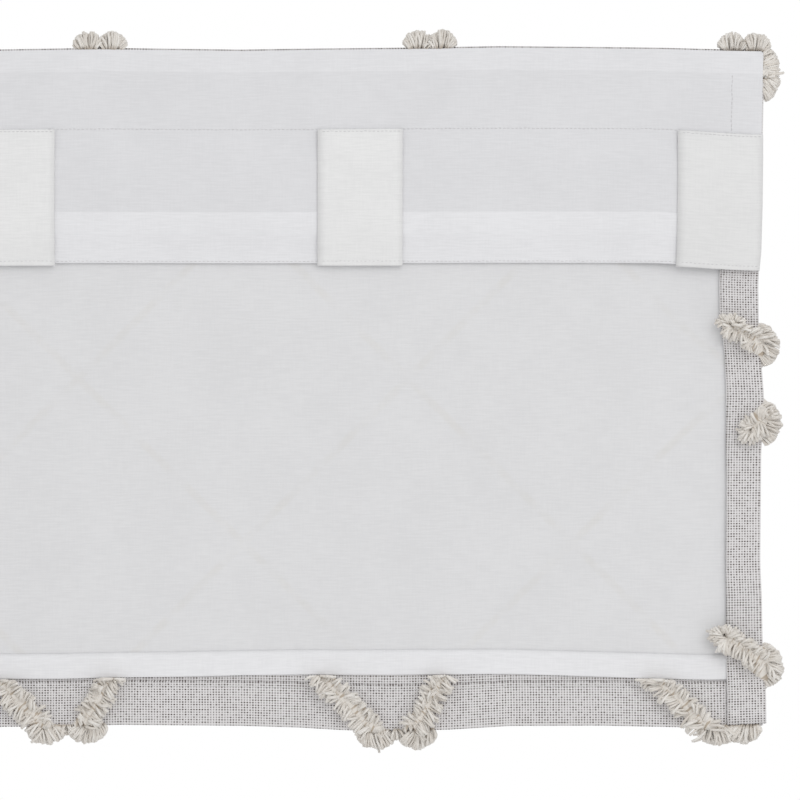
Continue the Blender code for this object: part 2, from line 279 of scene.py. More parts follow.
# How the hanging cloth strays from flat, as the photograph's outline shows it
SIDE_SWAY_Z = [TOP_Z, 0.040, 0.0, -0.030, -0.048, -0.080, -0.120, -0.155, -0.220, -0.240, -0.270,
               -0.300, BOTTOM_Z]
SIDE_SWAY_X = [0.0012, 0.0001, -0.0003, -0.0011, -0.0026, -0.0023, 0.0008, -0.0009, -0.0015, -0.0006,
               0.0, 0.0020, 0.0022]
SWAY_REACH = 0.070
HEM_LEAN_REACH = 0.012
HEM_LEAN_Z = [0.0, -0.070, -0.095, -0.120, -0.170, -0.220, -0.270, -0.300]
HEM_LEAN_X = [0.0008, 0.0008, 0.0031, 0.0026, 0.0040, 0.0038, 0.0031, 0.0020]
TOP_STRAY_X = [-0.762, -0.724, -0.652, -0.605, -0.545, -0.497, -0.449, -0.401, -0.365, -0.317,
               -0.280, 0.0]
TOP_STRAY_Z = [0.0007, 0.0009, 0.0017, 0.0021, 0.0012, 0.0007, 0.0, 0.0006, 0.0011, 0.0003, -0.0003,
               0.0]
BOTTOM_STRAY_X = [-0.762, -0.724, -0.691, -0.664, -0.611, -0.575, -0.542, -0.512, -0.485, -0.449,
                  -0.377, -0.341, -0.305, 0.0]
BOTTOM_STRAY_Z = [0.0015, 0.0001, 0.0008, 0.0013, 0.0011, -0.0011, -0.0020, -0.0016, 0.0, 0.0011,
                  0.0018, 0.0007, 0.0006, 0.0]
SIDE_DROP = 0.0045
SIDE_DROP_REACH = 0.070
WAVE_DEPTH = 0.0016
WAVE_AT_TOP = 0.15

# Each wave of the hanging cloth: its share, its rate and start along the width, its lean
WAVES = [(1.0, 15.3, 1.1, 4.0), (0.5, 37.0, 0.4, -9.0)]

# Each rise of the lining's loose edge: its height, its place and its width; then the edge's sag
LINING_RISES = [(0.0044, 0.5447, 0.11), (0.0010, 0.0, 0.3)]
LINING_SAG = 0.0021
LINING_DRAWN_UP = 0.08


def hem_lean(x, z):
    """How far the inner edge of a side hem is drawn out towards the side."""
    lean = np.interp(-z, [-height for height in HEM_LEAN_Z], HEM_LEAN_X)
    inward = WIDTH / 2 - np.abs(x)
    return np.sign(x) * lean * np.exp(-((inward - FACE_SIDE_HEM) / HEM_LEAN_REACH) ** 2)


def settle(points):
    """Move points of the flat hanging valance to where the real cloth strays to."""
    x, y, z = points[..., 0], points[..., 1], points[..., 2]
    side = np.interp(-z, [-height for height in SIDE_SWAY_Z], SIDE_SWAY_X)
    inward = WIDTH / 2 - np.abs(x)
    x_moved = x + np.sign(x) * side * np.exp(-np.maximum(inward, 0.0) / SWAY_REACH)
    x_moved += hem_lean(x, z)
    foot = np.interp(-np.abs(x), BOTTOM_STRAY_X, BOTTOM_STRAY_Z)
    foot = foot * np.exp(-(z - BOTTOM_Z) / SWAY_REACH)
    head = np.interp(-np.abs(x), TOP_STRAY_X, TOP_STRAY_Z) * np.exp((z - TOP_Z) / SWAY_REACH)
    drop = SIDE_DROP * smooth(SIDE_DROP_REACH, 0.0, inward) * np.exp(-(z / SIDE_DROP_REACH) ** 2)
    free = WAVE_AT_TOP + (1.0 - WAVE_AT_TOP) * smooth(TOP_Z, BOTTOM_Z, z)
    wave = WAVE_DEPTH * free * sum(share * np.sin(x * rate + start + z * lean)
                                   for share, rate, start, lean in WAVES)
    return np.stack([x_moved, y + wave, z + foot + head - drop], axis=-1)


def flat_front(x, z):
    """The face hangs in one plane."""
    return np.full_like(x, FRONT_Y)


def lining_front(x, z):
    """The lining lies on the back of the face."""
    return np.full_like(x, FRONT_Y + LINING_FRONT)


def band_back(x, z):
    """The band rises over the side hems, and bulges between its two rows of stitching."""
    lift = smooth(WIDTH / 2 - BAND_LIFT_FROM, WIDTH / 2 - BAND_LIFT_TO, np.abs(x))
    sewn = BAND_BACK + lift * (BAND_BACK_AT_SIDE - BAND_BACK)
    bulge = smooth(HEADER_STITCH_Z, HEADER_STITCH_Z - POCKET_EASE, z)
    bulge = bulge * smooth(LOWER_STITCH_Z, LOWER_STITCH_Z + POCKET_EASE, z)
    return FRONT_Y + sewn + bulge * POCKET_LEFT_OPEN * (BAND_BACK_AT_POCKET - sewn)


def tab_back(x, z):
    """A tab lies on the band at both ends, and stands off it between them."""
    top = HEADER_STITCH_Z - TAB_TOP_TURN
    bottom = TAB_BOTTOM_Z + TAB_BOTTOM_TURN
    loop = smooth(top, top - TAB_EASE, z) * smooth(bottom, bottom + TAB_EASE, z)
    return band_back(x, z) + 2 * (CLEARANCE + TAB_THICK) + loop * TAB_SLACK


class Fold:
    """A half turn of a cloth about an axis behind its outer side."""

    def __init__(self, thickness, gap):
        self.axis = thickness + gap / 2
        self.neutral = self.axis - thickness / 2
        self.bend = math.pi * self.neutral

    def turn(self, past, depth):
        """Where points lie that are this far past the fold line: their reach and depth."""
        angle = np.minimum(past, self.bend) / self.neutral
        rest = np.maximum(past - self.bend, 0.0)
        reach = (self.axis - depth) * np.sin(angle) - rest
        return reach, self.axis - (self.axis - depth) * np.cos(angle)

    def flat_length(self, hem):
        """How much flat cloth the bend and the hem take."""
        return self.bend + hem - self.axis if hem else 0.0

    def lines(self, hem, step):
        """Distances past the fold line for the facets of the bend and of the turned hem."""
        if not hem:
            return []
        bend = spread(0.0, self.bend, self.bend / BEND_FACETS)
        return bend[1:] + spread(self.bend, self.flat_length(hem), step)[1:]


class Cloth:
    """A cut cloth with hems turned at its edges: the top and bottom first, then the sides."""

    def __init__(self, thickness, left, right, bottom, top, carry, side=1.0,
                 hems=(0.0, 0.0, 0.0), side_gap=CLEARANCE):
        self.thickness = thickness
        self.carry = carry
        self.side = side
        self.side_hem, self.top_hem, self.bottom_hem = hems
        self.end_fold = Fold(thickness, CLEARANCE)
        self.side_fold = Fold(thickness, side_gap)
        self.left = left + (self.side_fold.axis if self.side_hem else 0.0)
        self.right = right - (self.side_fold.axis if self.side_hem else 0.0)
        self.low = bottom + (self.end_fold.axis if self.bottom_hem else 0.0)
        self.high = top - (self.end_fold.axis if self.top_hem else 0.0)

    def place(self, u, v, depth):
        """Put points of the flat cloth where the hemmed cloth hangs."""
        past_side = np.maximum(u - self.right, 0.0) + np.maximum(self.left - u, 0.0)
        past_end = np.maximum(v - self.high, 0.0) + np.maximum(self.low - v, 0.0)
        side_reach, side_depth = self.side_fold.turn(past_side, depth)
        end_reach, end_depth = self.end_fold.turn(past_end, depth)
        turned = past_side > 0.0
        x = np.clip(u, self.left, self.right) + np.sign(u) * np.where(turned, side_reach, 0.0)
        middle = (self.low + self.high) / 2
        ended = (past_end > 0.0) & ~turned
        z = np.clip(v, self.low, self.high) + np.sign(v - middle) * np.where(ended, end_reach, 0.0)
        deep = np.where(turned, side_depth, end_depth)
        return np.stack([x, self.carry(x, z) + self.side * deep, z], axis=-1)

    def flat_size(self):
        """The cut cloth's width and length, and its area without the cut-away corners."""
        across = self.right - self.left
        along = self.high - self.low
        sides = 2 * self.side_fold.flat_length(self.side_hem)
        ends = (self.end_fold.flat_length(self.top_hem)
                + self.end_fold.flat_length(self.bottom_hem))
        area = across * along + sides * along + ends * across
        return (across + sides, along + ends), area

    def u_lines(self, marks):
        """Facet lines along the width, with a close pair at each mark."""
        past = self.side_fold.lines(self.side_hem, TURN_STEP)
        inner = with_marks(spread(self.left, self.right, CLOTH_STEP), marks)
        return np.array([self.left - length for length in reversed(past)] + inner
                        + [self.right + length for length in past])

    def v_lines(self, marks):
        """Facet lines up the height, with a close pair at each mark."""
        below = self.end_fold.lines(self.bottom_hem, TURN_STEP)
        above = self.end_fold.lines(self.top_hem, TURN_STEP)
        inner = with_marks(spread(self.low, self.high, CLOTH_STEP), marks)
        return np.array([self.low - length for length in reversed(below)] + inner
                        + [self.high + length for length in above])

    def weave_place(self, u, v):
        """Where the weave's pattern is looked up: a turned side hem is not squeezed by its lean."""
        x, _, z = np.moveaxis(self.place(u, v, 0.0), -1, 0)
        turned = (u > self.right + self.side_fold.bend) | (u < self.left - self.side_fold.bend)
        return np.stack([u - np.where(turned, hem_lean(x, z), 0.0), v], axis=-1)

    def build(self, name, material, across_marks=(), along_marks=(), cover=None, shift=None):
        """Make the closed mesh: both sides of the cloth, and the rim round its edges."""
        u_lines = self.u_lines(across_marks)
        v_lines = self.v_lines(along_marks)
        u, v = np.meshgrid(u_lines, v_lines, indexing="ij")
        layers = [settle(self.place(u, v, layer * self.thickness)) for layer in (0, 1)]
        if shift is not None:
            layers = [shift(layer) for layer in layers]
        columns, rows = u.shape
        middle_u = (u_lines[1:] + u_lines[:-1]) / 2
        middle_v = (v_lines[1:] + v_lines[:-1]) / 2
        kept = (((middle_u > self.left) & (middle_u < self.right))[:, None]
                | ((middle_v > self.low) & (middle_v < self.high))[None, :])
        faces = cloth_faces(kept, columns, rows, front=self.side > 0)
        points = np.concatenate([layer.reshape(-1, 3) for layer in layers])
        flat = np.tile(self.weave_place(u, v).reshape(-1, 2), (2, 1))
        values = None
        if cover is not None:
            values = np.tile(cover(u, v).reshape(-1), 2)
        return add_mesh(name, points, faces, material, flat, values)


def with_marks(lines, marks):
    """Add a close pair of lines at each mark, so that a change there is crisp."""
    pair = 0.0004
    kept = [line for line in lines if all(abs(line - mark) > 3 * pair for mark in marks)
            or line in (lines[0], lines[-1])]
    extra = [mark + way * pair for mark in marks for way in (-1, 1)]
    return sorted(kept + extra)


def cloth_faces(kept, columns, rows, front):
    """Quads of both sides of a grid of cells and of its rim. The outer side is front or back."""
    back = columns * rows

    def corner(i, j):
        return i * rows + j

    faces = []
    for i, j in zip(*np.nonzero(kept)):
        ring = [corner(i, j), corner(i + 1, j), corner(i + 1, j + 1), corner(i, j + 1)]
        beside = [(i, j - 1), (i + 1, j), (i, j + 1), (i - 1, j)]
        faces.append(ring)
        faces.append([index + back for index in reversed(ring)])
        for side, (p, q) in enumerate(beside):
            inside = 0 <= p < kept.shape[0] and 0 <= q < kept.shape[1] and kept[p, q]
            if not inside:
                start, stop = ring[side], ring[(side + 1) % 4]
                faces.append([stop, start, start + back, stop + back])
    if not front:
        faces = [face[::-1] for face in faces]
    return faces


def add_mesh(name, points, faces, material, flat=None, values=None):
    """Make a mesh object that rides on the valance, without points that no face uses."""
    faces = [list(map(int, face)) for face in faces]
    used = np.unique(np.concatenate([np.asarray(face) for face in faces]))
    renumber = np.full(len(points), -1)
    renumber[used] = np.arange(len(used))
    mesh = bpy.data.meshes.new(name)
    mesh.from_pydata(points[used].tolist(), [], [renumber[face].tolist() for face in faces])
    if flat is not None:
        corners = np.zeros(len(mesh.loops), np.int32)
        mesh.loops.foreach_get("vertex_index", corners)
        layer = mesh.uv_layers.new(name="cloth_metres")
        layer.data.foreach_set("uv", flat[used][corners].astype(np.float32).ravel())
    if values is not None:
        attribute = mesh.attributes.new("cover", "FLOAT", "POINT")
        attribute.data.foreach_set("value", values[used].astype(np.float32))
    mesh.shade_smooth()
    mesh.materials.append(material)
    obj = bpy.data.objects.new(name, mesh)
    bpy.context.scene.collection.objects.link(obj)
    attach(obj, "root")
    return obj


def new_group(name, inputs, outputs):
    """A shader node group with named number, vector or colour sockets."""
    group = bpy.data.node_groups.new(name, "ShaderNodeTree")
    for label, kind, value in inputs:
        socket = group.interface.new_socket(label, in_out="INPUT", socket_type=kind)
        if value is not None:
            socket.default_value = value
    for label, kind in outputs:
        group.interface.new_socket(label, in_out="OUTPUT", socket_type=kind)
    start = group.nodes.new("NodeGroupInput")
    stop = group.nodes.new("NodeGroupOutput")
    return group, start, stop


class Wiring:
    """Short ways to add and join shader nodes in one tree."""

    def __init__(self, tree):
        self.tree = tree

    def feed(self, socket, value):
        """Join a socket to another one, or set it to a constant."""
        if isinstance(value, bpy.types.NodeSocket):
            self.tree.links.new(value, socket)
        else:
            socket.default_value = value

    def math(self, operation, *values, clamp=False):
        """A math node on up to three values."""
        node = self.tree.nodes.new("ShaderNodeMath")
        node.operation = operation
        node.use_clamp = clamp
        for socket, value in zip(node.inputs, values):
            self.feed(socket, value)
        return node.outputs[0]

    def ramp(self, value, start, stop, low=0.0, high=1.0):
        """A smooth step from low to high as the value goes from start to stop."""
        node = self.tree.nodes.new("ShaderNodeMapRange")
        node.interpolation_type = "SMOOTHSTEP"
        for label, number in (("Value", value), ("From Min", start), ("From Max", stop),
                              ("To Min", low), ("To Max", high)):
            self.feed(node.inputs[label], number)
        return node.outputs["Result"]

    def vector(self, x, y, z=0.0):
        """A vector from three values."""
        node = self.tree.nodes.new("ShaderNodeCombineXYZ")
        for socket, value in zip(node.inputs, (x, y, z)):
            self.feed(socket, value)
        return node.outputs[0]

    def parts(self, value):
        """The three values of a vector."""
        node = self.tree.nodes.new("ShaderNodeSeparateXYZ")
        self.feed(node.inputs[0], value)
        return node.outputs

    def noise(self, place, scale, detail=2.0, roughness=0.5):
        """Smooth noise from 0 to 1."""
        node = self.tree.nodes.new("ShaderNodeTexNoise")
        for label, number in (("Vector", place), ("Scale", scale), ("Detail", detail),
                              ("Roughness", roughness)):
            self.feed(node.inputs[label], number)
        return node.outputs["Fac"]

    def random(self, place):
        """A random value from 0 to 1 for each place."""
        node = self.tree.nodes.new("ShaderNodeTexWhiteNoise")
        node.noise_dimensions = "2D"
        self.feed(node.inputs["Vector"], place)
        return node.outputs["Value"]

    def mix(self, share, first, second):
        """A colour between two colours."""
        node = self.tree.nodes.new("ShaderNodeMix")
        node.data_type = "RGBA"
        for index, value in ((0, share), (6, first), (7, second)):
            self.feed(node.inputs[index], value)
        return node.outputs[2]

    def use(self, group, **values):
        """A node that runs a group, with its inputs set by name."""
        node = self.tree.nodes.new("ShaderNodeGroup")
        node.node_tree = group
        for label, value in values.items():
            self.feed(node.inputs[label.replace("_", " ")], value)
        return node.outputs

    def cloth_place(self):
        """Where a point is on the flat cloth, in metres."""
        node = self.tree.nodes.new("ShaderNodeUVMap")
        node.uv_map = "cloth_metres"
        return node.outputs[0]

    def attribute(self, name):
        """A number stored on the mesh."""
        node = self.tree.nodes.new("ShaderNodeAttribute")
        node.attribute_name = name
        return node.outputs["Fac"]


def weave_tone_and_highlight(w, across, along, cell_u, cell_v, off_u):
    """How light the yarns are: their own tone by column, by line and by their slubs, and a painted
    highlight on their ridges.
    """
    column = w.random(w.vector(w.math("FLOOR", cell_u), 7.0))
    line = w.random(w.vector(3.0, w.math("FLOOR", cell_v)))
    slub = w.noise(w.vector(w.math("MULTIPLY", across, 30.0), w.math("MULTIPLY", along, 500.0)),
                   1.0, 2.0)
    # Painted highlight: lighter on the ridges between the columns of gaps
    ridge = w.ramp(w.math("ABSOLUTE", off_u), 0.16, 0.42)
    tint = w.math("ADD", w.math("MULTIPLY", column, 0.15), w.math("MULTIPLY", line, 0.15))
    tint = w.math("ADD", tint, w.math("MULTIPLY", slub, 0.20))
    return w.math("ADD", tint, w.math("MULTIPLY", ridge, 0.38))


def basket_weave_group():
    """Pale yarns over and under each other, with dark gaps where they cross: painted shade in the
    holes between the yarns.
    """
    group, start, stop = new_group(
        "basket_weave",
        [("Place", "NodeSocketVector", None), ("Pitch Across", "NodeSocketFloat", 0.00168),
         ("Pitch Along", "NodeSocketFloat", 0.00153), ("Gap Size", "NodeSocketFloat", 0.30)],
        [("Gap", "NodeSocketFloat"), ("Tint", "NodeSocketFloat"), ("Height", "NodeSocketFloat")])
    w = Wiring(group)
    across, along, _ = w.parts(start.outputs["Place"])
    wander = w.noise(start.outputs["Place"], 30.0, 1.0)
    across = w.math("ADD", across, w.math("MULTIPLY", wander, 0.0007))
    cell_u = w.math("DIVIDE", across, start.outputs["Pitch Across"])
    cell_v = w.math("DIVIDE", along, start.outputs["Pitch Along"])
    index = w.vector(w.math("FLOOR", cell_u), w.math("FLOOR", cell_v))
    chance = w.random(index)
    off_u = w.math("SUBTRACT", w.math("FRACT", cell_u), 0.5)
    off_v = w.math("SUBTRACT", w.math("FRACT", cell_v), 0.5)
    tall = w.math("MULTIPLY", w.math("MULTIPLY", off_v, off_v), 1.35)
    spread_uv = w.math("SQRT", w.math("ADD", w.math("MULTIPLY", off_u, off_u), tall))
    size = w.math("MULTIPLY", start.outputs["Gap Size"], w.ramp(chance, 0.0, 1.0, 0.84, 1.16))
    gap = w.ramp(spread_uv, w.math("MULTIPLY", size, 0.75), w.math("MULTIPLY", size, 1.2),
                 1.0, 0.0)
    gap = w.math("MULTIPLY", gap, w.ramp(chance, 0.0, 1.0, 0.72, 1.0))
    height = w.math("SUBTRACT", 1.0, w.ramp(spread_uv, 0.15, 0.7))
    height = w.math("MULTIPLY", w.math("SUBTRACT", 1.0, gap), w.math("SUBTRACT", 1.2, height))
    w.feed(stop.inputs["Gap"], gap)
    # Tint holds the yarns' own tone and the painted highlight on their ridges
    w.feed(stop.inputs["Tint"], weave_tone_and_highlight(w, across, along, cell_u, cell_v, off_u))
    w.feed(stop.inputs["Height"], height)
    return group


def plain_cotton_group():
    """Fine threads with faint streaks along the cloth, as in plain cotton sheeting, and soft blotches
    of painted shade where the cloth creases.
    """
    group, start, stop = new_group(
        "plain_cotton",
        [("Place", "NodeSocketVector", None), ("Streak Length", "NodeSocketFloat", 0.030),
         ("Thread Pitch", "NodeSocketFloat", 0.0007)],
        [("Streak", "NodeSocketFloat"), ("Height", "NodeSocketFloat")])
    w = Wiring(group)
    across, along, _ = w.parts(start.outputs["Place"])
    long_way = w.math("DIVIDE", across, start.outputs["Streak Length"])
    short_way = w.math("DIVIDE", along, start.outputs["Thread Pitch"])
    weft = w.noise(w.vector(long_way, short_way), 1.0, 2.0, 0.6)
    warp = w.noise(w.vector(w.math("DIVIDE", across, start.outputs["Thread Pitch"]),
                            w.math("DIVIDE", along, start.outputs["Streak Length"])), 1.0, 2.0)
    streak = w.math("ADD", w.math("MULTIPLY", weft, 0.7), w.math("MULTIPLY", warp, 0.3))
    # Painted shade: soft low blotches where the cloth creases
    crease_shade = w.noise(start.outputs["Place"], 26.0, 3.0, 0.6)
    both = w.math("ADD", w.math("MULTIPLY", streak, 0.7), w.math("MULTIPLY", crease_shade, 0.3))
    # Streak holds the thread streaks and the painted crease shade
    w.feed(stop.inputs["Streak"], both)
    w.feed(stop.inputs["Height"], streak)
    return group


def lattice_group():
    """How near a point is to the diamond lattice of stitched lines."""
    group, start, stop = new_group(
        "diamond_lattice",
        [("Place", "NodeSocketVector", None), ("Period", "NodeSocketFloat", LATTICE_PERIOD),
         ("Start Across", "NodeSocketFloat", 0.0), ("Start Along", "NodeSocketFloat", 0.0),
         ("Line Width", "NodeSocketFloat", 0.006)],
        [("Line", "NodeSocketFloat")])
    w = Wiring(group)
    across, along, _ = w.parts(start.outputs["Place"])
    s = w.math("SUBTRACT", across, start.outputs["Start Across"])
    t = w.math("SUBTRACT", along, start.outputs["Start Along"])
    half = w.math("DIVIDE", start.outputs["Period"], 2.0)
    up = w.math("PINGPONG", w.math("ADD", s, t), half)
    down = w.math("PINGPONG", w.math("SUBTRACT", s, t), half)
    near = w.math("DIVIDE", w.math("MINIMUM", up, down), math.sqrt(2.0))
    reach = w.math("DIVIDE", start.outputs["Line Width"], 2.0)
    line = w.ramp(near, w.math("MULTIPLY", reach, 0.4), w.math("MULTIPLY", reach, 1.5), 1.0, 0.0)
    w.feed(stop.inputs["Line"], line)
    return group


def yarn_group():
    """The lightness of cut yarn: its own tone by yarn and fibre, with painted shade making it darker
    between the yarns and near their roots.
    """
    group, start, stop = new_group(
        "cut_yarn",
        [("Place", "NodeSocketVector", None), ("Flat", "NodeSocketVector", None),
         ("Tint", "NodeSocketFloat", 0.5), ("Along", "NodeSocketFloat", 1.0)],
        [("Lightness", "NodeSocketFloat"), ("Height", "NodeSocketFloat")])
    w = Wiring(group)
    fibre = w.noise(start.outputs["Place"], 1400.0, 2.0)
    run, round_core, _ = w.parts(start.outputs["Flat"])
    groove = w.noise(w.vector(w.math("MULTIPLY", run, 620.0),
                              w.math("MULTIPLY", round_core, 110.0)), 1.0, 1.0)
    # Painted shade: darker near the roots
    rise = w.ramp(start.outputs["Along"], 0.0, 0.35, 0.15, 0.60)
    light = w.math("ADD", rise, w.math("MULTIPLY", start.outputs["Tint"], 0.25))
    light = w.math("ADD", light, w.math("MULTIPLY", fibre, 0.15), clamp=True)
    # Painted shade: darker in the grooves between the yarns' roots
    light = w.math("MULTIPLY", light, w.ramp(groove, 0.38, 0.50, 0.25, 1.0))
    w.feed(stop.inputs["Lightness"], light)
    w.feed(stop.inputs["Height"], w.math("ADD", fibre, w.math("MULTIPLY", groove, 3.0)))
    return group


def new_material(name, roughness, sheen=0.0):
    """A cloth material, its wiring and its shader."""
    material = bpy.data.materials.new(name)
    material.use_nodes = True
    shader = material.node_tree.nodes["Principled BSDF"]
    shader.inputs["Roughness"].default_value = roughness
    shader.inputs["Specular IOR Level"].default_value = 0.2
    if sheen:
        shader.inputs["Sheen Weight"].default_value = sheen
    return material, Wiring(material.node_tree), shader


def add_bump(w, shader, height, strength, distance):
    """Raise the surface by a height from 0 to 1."""
    node = w.tree.nodes.new("ShaderNodeBump")
    w.feed(node.inputs["Height"], height)
    node.inputs["Strength"].default_value = strength
    node.inputs["Distance"].default_value = distance
    w.feed(shader.inputs["Normal"], node.outputs["Normal"])


# Yarn colours from shade to light: their own tone and a painted highlight on their ridges
WEAVE_LIGHT = (0.822, 0.808, 0.814, 1.0)
WEAVE_SHADE = (0.672, 0.652, 0.652, 1.0)
# Painted shade in the gaps of the weave, where the yarns cross
WEAVE_GAP_SHADE = (0.050, 0.030, 0.022, 1.0)
LINING_WHITE = (0.748, 0.748, 0.758, 1.0)
LINING_DOUBLE = (0.834, 0.834, 0.850, 1.0)
LINING_GHOST = (0.730, 0.724, 0.719, 1.0)
BAND_WHITE = (0.745, 0.745, 0.762, 1.0)
BAND_DOUBLE = (0.814, 0.814, 0.832, 1.0)
TAB_WHITE = (0.778, 0.778, 0.777, 1.0)
TAB_BRIGHT = (0.824, 0.824, 0.823, 1.0)
# YARN_DARK is reached mostly at the roots and between them: painted shade
YARN_DARK = (0.400, 0.315, 0.225, 1.0)
YARN_LIGHT = (0.899, 0.876, 0.840, 1.0)
# Grey of the thread streaks and of the painted crease shade
STREAK_AND_CREASE_SHADE_GREY = (0.40, 0.40, 0.41, 1.0)
# The thread's grey, darker than the cloth, is painted shade of the stitch marks
THREAD_SHADE_GREY = (0.640, 0.635, 0.640, 1.0)

# How brightly a place of a white cloth lies between its single and its double colour
COVER_AT_TOP_TURN = 0.55
COVER_AT_SIDE_HEM = 0.12
COVER_OVER_LINING = 1.15
COVER_OF_TAB = 0.9
COVER_OF_END_TAB = 0.1


def make_face_material():
    """Cream basket weave, with painted shade in its gaps and a painted highlight on its yarns' ridges.
    """
    material, w, shader = new_material("cream_basket_weave", 0.9, 0.1)
    weave = w.use(basket_weave_group(), Place=w.cloth_place(), Pitch_Across=0.00168,
                  Pitch_Along=0.00153, Gap_Size=0.278)
    # Tint holds the yarns' tone and the painted highlight on their ridges
    yarn = w.mix(weave["Tint"], WEAVE_SHADE, WEAVE_LIGHT)
    # The gaps get painted shade
    w.feed(shader.inputs["Base Color"], w.mix(weave["Gap"], yarn, WEAVE_GAP_SHADE))
    add_bump(w, shader, weave["Height"], 0.5, 0.0004)
    return material


def make_cotton_material(name, cotton, single, double, ghost=None):
    """White cotton: brighter where it lies double, grey where a line shows through, and greyer along
    its thread streaks and in soft blotches of painted crease shade.
    """
    material, w, shader = new_material(name, 0.85)
    place = w.cloth_place()
    threads = w.use(cotton, Place=place, Streak_Length=0.012, Thread_Pitch=0.0010)
    colour = w.mix(w.attribute("cover"), single, double)
    if ghost is not None:
        line = w.use(ghost, Place=place, Period=LATTICE_PERIOD, Start_Across=first_vertex_x(0),
                     Start_Along=row_z(0), Line_Width=0.0046)["Line"]
        broken = w.math("MULTIPLY", line, w.ramp(w.noise(place, 60.0, 3.0), 0.35, 0.7, 0.1, 1.0))
        bare = w.math("SUBTRACT", 1.0, w.attribute("cover"))
        colour = w.mix(w.math("MULTIPLY", broken, bare), colour, LINING_GHOST)
    # Greyer along the thread streaks and in the painted crease shade
    shade = w.ramp(threads["Streak"], 0.34, 0.66, 0.0, 0.14)
    colour = w.mix(shade, colour, STREAK_AND_CREASE_SHADE_GREY)
    w.feed(shader.inputs["Base Color"], colour)
    add_bump(w, shader, threads["Height"], 0.25, 0.0003)
    return material


def make_yarn_material():
    """Cream cut yarn, with painted shade near its roots and between them."""
    material, w, shader = new_material("cream_cut_yarn", 0.95, 0.1)
    place = w.tree.nodes.new("ShaderNodeTexCoord").outputs["Object"]
    yarn = w.use(yarn_group(), Place=place, Flat=w.cloth_place(), Tint=w.attribute("tint"),
                 Along=w.attribute("along"))
    # The dark end is painted shade at the roots and between them
    w.feed(shader.inputs["Base Color"], w.mix(yarn["Lightness"], YARN_DARK, YARN_LIGHT))
    add_bump(w, shader, yarn["Height"], 0.4, 0.0003)
    return material


def make_thread_material():
    """Sewing thread, greyer than the white cloth it is sewn to: painted shade of the stitch marks."""
    material, w, shader = new_material("sewing_thread_painted_shade", 0.7)
    # Painted shade: the thread is greyer than the cloth
    w.feed(shader.inputs["Base Color"], THREAD_SHADE_GREY)
    return material


def make_face_panel(material):
    """The woven face, with its hems and its top seam turned to the back."""
    cloth = Cloth(FACE_THICK, -WIDTH / 2, WIDTH / 2, BOTTOM_Z, TOP_Z, flat_front,
                  hems=(FACE_SIDE_HEM, FACE_TOP_TURN, FACE_BOTTOM_HEM), side_gap=SIDE_GAP)
    return cloth, cloth.build("woven_face", material)


def lining_rise(x):
    """How far the loose lower edge of the lining is drawn up."""
    rise = sum(height * np.exp(-((np.abs(x) - place) / width) ** 2)
               for height, place, width in LINING_RISES)
    return rise - LINING_SAG


def draw_up_lining(points):
    """The lower part of the lining follows its loose edge up."""
    moved = points.copy()
    near = smooth(LINING_BOTTOM_Z + LINING_DRAWN_UP, LINING_BOTTOM_Z, points[..., 2])
    moved[..., 2] += lining_rise(points[..., 0]) * near
    return moved


def make_lining(material):
    """The lining, caught in the side hems and under the band, and loose at its hem."""
    half = WIDTH / 2 - FACE_SIDE_HEM + LINING_UNDER_SIDE_HEM
    cloth = Cloth(LINING_THICK, -half, half, LINING_BOTTOM_Z, LINING_TOP_Z, lining_front,
                  hems=(0.0, 0.0, LINING_HEM))
    hem_top = LINING_BOTTOM_Z + LINING_HEM

    def cover(u, v):
        return (v < hem_top).astype(float)

    return cloth, cloth.build("back_lining", material, along_marks=[hem_top], cover=cover,
                              shift=draw_up_lining)


def make_band(material):
    """The white band behind the header, whose middle is the rod pocket."""
    half = WIDTH / 2 - BAND_INSIDE_EDGE
    cloth = Cloth(BAND_THICK, -half, half, BAND_BOTTOM_Z, BAND_TOP_Z, band_back, side=-1.0,
                  hems=(BAND_SIDE_HEM, BAND_TOP_TURN, BAND_HEM), side_gap=BAND_SIDE_GAP)
    hem_top = BAND_BOTTOM_Z + BAND_HEM
    turn_low = BAND_TOP_Z - BAND_TOP_TURN
    side = half - BAND_SIDE_HEM

    def cover(u, v):
        double = np.where(v < hem_top, 1.0, np.where(v > turn_low, COVER_AT_TOP_TURN, 0.0))
        double = np.maximum(double, np.where(np.abs(u) > side, COVER_AT_SIDE_HEM, 0.0))
        return np.where(v < LINING_TOP_Z, COVER_OVER_LINING, double)

    piece = cloth.build("rod_pocket_band", material, [-side, side],
                        [LINING_TOP_Z, hem_top, turn_low], cover)
    return cloth, piece


def tab_left(index):
    """Left edge of a tab. The end tabs are flush with the sides; the others keep clear of them."""
    spacing = (WIDTH - TAB_WIDTH) / (TAB_COUNT - 1)
    left = -WIDTH / 2 + index * spacing
    if 0 < index < TAB_COUNT - 1:
        left += TAB_INSET * (1.0 - 2.0 * (index - 1) / (TAB_COUNT - 3))
    return left


def make_tab(index, material):
    """One back tab, sewn to the band at both of its turned ends."""
    left = tab_left(index)
    cloth = Cloth(TAB_THICK, left, left + TAB_WIDTH, TAB_BOTTOM_Z, HEADER_STITCH_Z, tab_back,
                  side=-1.0, hems=(0.0, TAB_TOP_TURN, TAB_BOTTOM_TURN))

    def cover(u, v):
        return np.full_like(u, COVER_OF_END_TAB if index == 0 else COVER_OF_TAB)

    piece = cloth.build(f"loop_tab_{index + 1}", material, cover=cover)
    return cloth, piece


